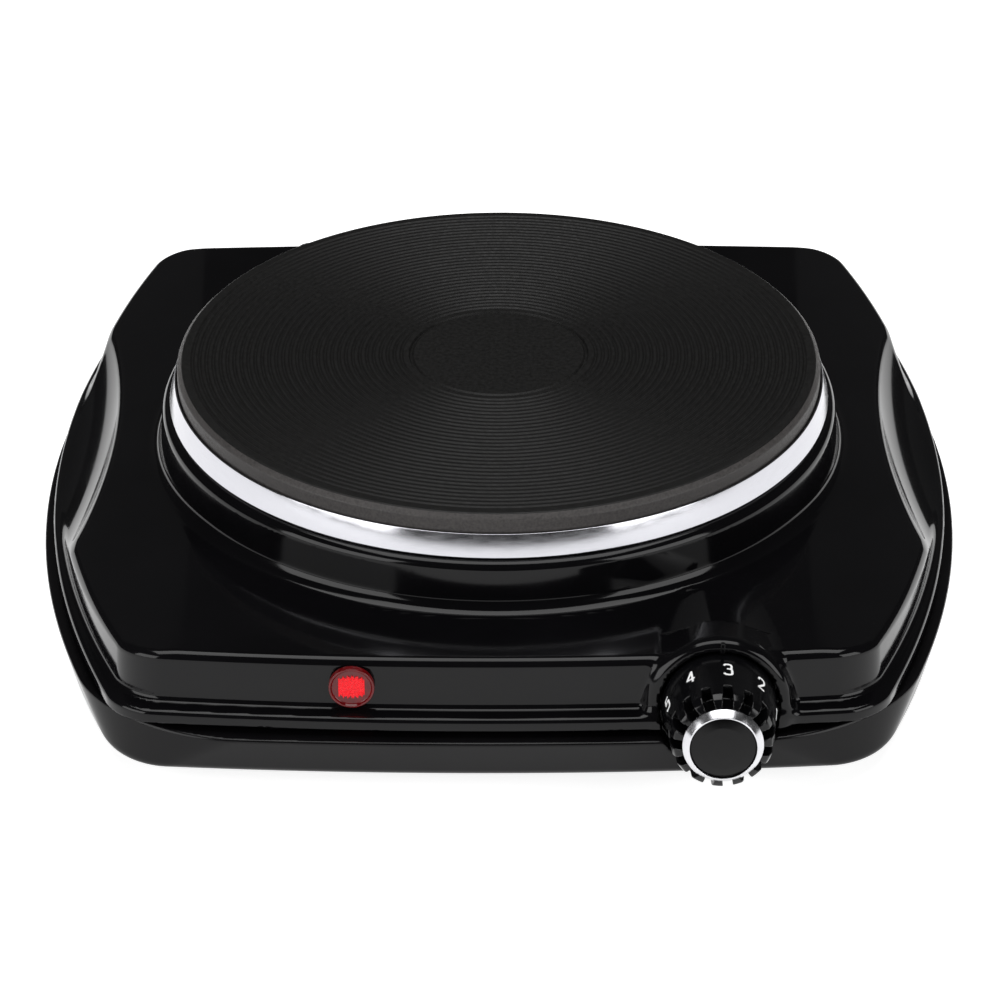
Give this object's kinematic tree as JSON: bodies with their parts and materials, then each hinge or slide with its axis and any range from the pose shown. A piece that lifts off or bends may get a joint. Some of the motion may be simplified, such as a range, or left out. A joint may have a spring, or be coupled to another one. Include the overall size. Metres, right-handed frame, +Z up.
{
  "type": "hot plate burner",
  "caption": "Free-standing electric hot plate: round grooved cast-iron plate on a gloss black sloping housing, with a turning heat knob, a pilot lamp and rubber feet.",
  "frame": {"origin": "centre of the whole object's footprint, at the bottom of the feet", "axes": "+Z up, +X to the right seen from the front, -Y to the front (the knob side)"},
  "size_m": [0.2646, 0.2834, 0.0662],
  "materials": {
    "enamel": "high-gloss black enamel",
    "pan_enamel": "gloss black enamel",
    "iron": "matte black heat-proof coating on turned grooves",
    "stainless": "polished stainless steel",
    "zinc_steel": "zinc plated",
    "aluminised": "aluminised sheet",
    "nichrome": "drawn resistance wire",
    "ceramic": "unglazed steatite",
    "brass": "turned brass",
    "spring_alloy": "rolled spring bronze",
    "bimetal": "rolled bimetal strip",
    "knob_black": "gloss black moulded plastic",
    "cap_black": "satin black moulded plastic",
    "knob_chrome": "satin chrome",
    "red_lens": "translucent red moulding",
    "bulb_glass": "clear glass",
    "gland_black": "moulded nylon",
    "block_white": "moulded nylon",
    "wire_brown": "silicone sleeve",
    "wire_blue": "silicone sleeve",
    "wire_green": "silicone sleeve",
    "resistor_tan": "lacquered",
    "foot_rubber": "moulded rubber"
  },
  "bodies": {
    "housing": {"top_shell": "enamel", "base_pan": "pan_enamel", "cast_iron_plate": "iron", "overflow_ring": "stainless", "heating_coils": "nichrome", "ceramic_fill": "ceramic", "element_cover": "aluminised", "centre_stud": "zinc_steel", "clamp_bridge": "zinc_steel", "stud_washers": "zinc_steel", "stud_nuts": "zinc_steel", "heat_shield": "aluminised", "shield_spacer": "zinc_steel", "element_terminal_block": "ceramic", "element_terminals": "zinc_steel", "thermostat_bracket": "zinc_steel", "thermostat_bush": "brass", "bush_nut": "brass", "ceramic_stack": "ceramic", "thermostat_tabs": "brass", "stack_screw": "zinc_steel", "pilot_lens": "red_lens", "lamp_clip": "zinc_steel", "neon_bulb": "bulb_glass", "lamp_resistor": "resistor_tan", "cord_gland": "gland_black", "mains_terminal_block": "block_white", "terminal_screws": "brass", "live_wire": "wire_brown", "switched_wire": "wire_brown", "neutral_wire": "wire_blue", "earth_wire": "wire_green", "lamp_lead_live": "wire_brown", "lamp_lead_neutral": "wire_blue", "earth_screw": "zinc_steel", "foot_front_left": "foot_rubber", "foot_front_right": "foot_rubber", "foot_back_left": "foot_rubber", "foot_back_right": "foot_rubber", "foot_screws": "zinc_steel"},
    "knob": {"knob_body": "knob_black", "knob_clip": "zinc_steel", "knob_ring": "knob_chrome", "knob_cap": "cap_black", "thermostat_spindle": "brass"},
    "pin": {"adjusting_pin": "ceramic"},
    "leaf": {"contact_leaf": "spring_alloy"},
    "bimetal": {"bimetal_blade": "bimetal"}
  },
  "joints": [
    {"name": "knob_turn", "type": "hinge", "parent": "housing", "child": "knob", "pos_m": [0.0588, -0.11745, 0.0271], "axis": [0, -0.9962, 0.0872], "range_deg": [-72.5, 125]},
    {"name": "pin_travel", "type": "slide", "parent": "housing", "child": "pin", "axis": [0, -0.9962, 0.0872], "range_m": [-0.00032, 0.00054]},
    {"name": "leaf_bend", "type": "hinge", "parent": "housing", "child": "leaf", "pos_m": [0.0676, -0.09225, 0.0249], "axis": [0, 0.0872, 0.9962], "range_deg": [-2.1, 3.6]},
    {"name": "bimetal_bend", "type": "hinge", "parent": "housing", "child": "bimetal", "pos_m": [0.0676, -0.08756, 0.02448], "axis": [0, 0.0872, 0.9962], "range_deg": [-3, 0], "stiffness_Nm_per_rad": 0.2}
  ],
  "couplings": [
    {"joint": "pin_travel", "follows": "knob_turn", "m_per_rad": 0.00023873},
    {"joint": "leaf_bend", "follows": "knob_turn", "ratio": 0.027129}
  ]
}
